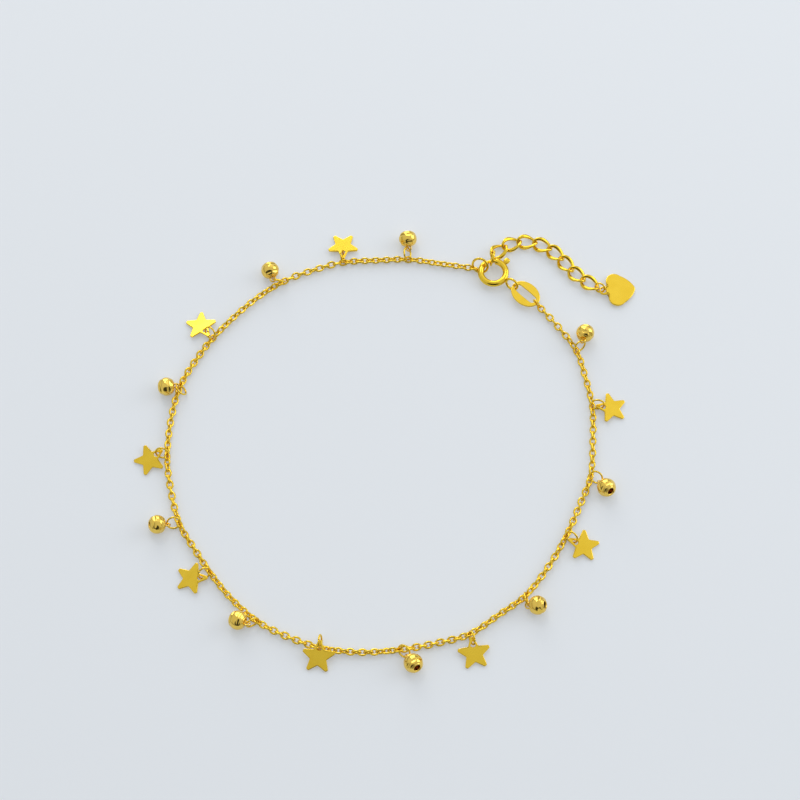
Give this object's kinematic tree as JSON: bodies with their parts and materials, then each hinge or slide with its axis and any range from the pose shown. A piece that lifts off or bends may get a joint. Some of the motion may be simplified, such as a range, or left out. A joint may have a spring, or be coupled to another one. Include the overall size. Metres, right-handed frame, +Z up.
{
  "type": "charm anklet",
  "caption": "Gold-coloured cable-chain anklet lying in a closed loop, with drilled beads and flat stars on jump rings, a spring-ring clasp and an extension chain with a heart tag.",
  "frame": {"origin": "middle of the anklet's outline, on the surface it lies on", "axes": "+Z up from the surface, +X towards the side where the extension's heart points, +Y towards the clasp"},
  "size_m": [0.0888, 0.0822, 0.0033],
  "materials": {
    "gold_polished": "polished yellow gold",
    "gold_satin": "satin yellow gold with bright edges"
  },
  "bodies": {
    "anklet": {"chain": "gold_polished", "ring_1": "gold_polished", "ring_2": "gold_polished", "ring_3": "gold_polished", "ring_4": "gold_polished", "ring_5": "gold_polished", "ring_6": "gold_polished", "ring_7": "gold_polished", "ring_8": "gold_polished", "ring_9": "gold_polished", "ring_10": "gold_polished", "ring_11": "gold_polished", "ring_12": "gold_polished", "ring_13": "gold_polished", "ring_14": "gold_polished", "ring_15": "gold_polished", "ring_16": "gold_polished", "ring_17": "gold_polished", "bead_1": "gold_polished", "bead_2": "gold_polished", "bead_3": "gold_polished", "bead_4": "gold_polished", "bead_5": "gold_polished", "bead_6": "gold_polished", "bead_7": "gold_polished", "bead_8": "gold_polished", "bead_9": "gold_polished", "clasp_ring": "gold_polished", "end_ring": "gold_polished", "extension_ring": "gold_polished", "extension_link_1": "gold_polished", "extension_link_2": "gold_polished", "extension_link_3": "gold_polished", "extension_link_4": "gold_polished", "extension_link_5": "gold_polished", "extension_link_6": "gold_polished", "extension_link_7": "gold_polished", "extension_link_8": "gold_polished", "heart_ring": "gold_polished", "star_1": "gold_satin", "star_2": "gold_satin", "star_3": "gold_satin", "star_4": "gold_satin", "star_5": "gold_satin", "star_6": "gold_satin", "star_7": "gold_satin", "star_8": "gold_satin", "oval_tag": "gold_satin", "heart_tag": "gold_satin"},
    "clasp_gate": {"clasp_gate": "gold_polished"}
  },
  "joints": [
    {"name": "clasp_lever", "type": "hinge", "parent": "anklet", "child": "clasp_gate", "pos_m": [0.01875, 0.03295, 0.00116], "axis": [0, 0, -1], "range_deg": [0, 50], "stiffness_Nm_per_rad": 0.0001, "springref_deg": -11.46}
  ]
}
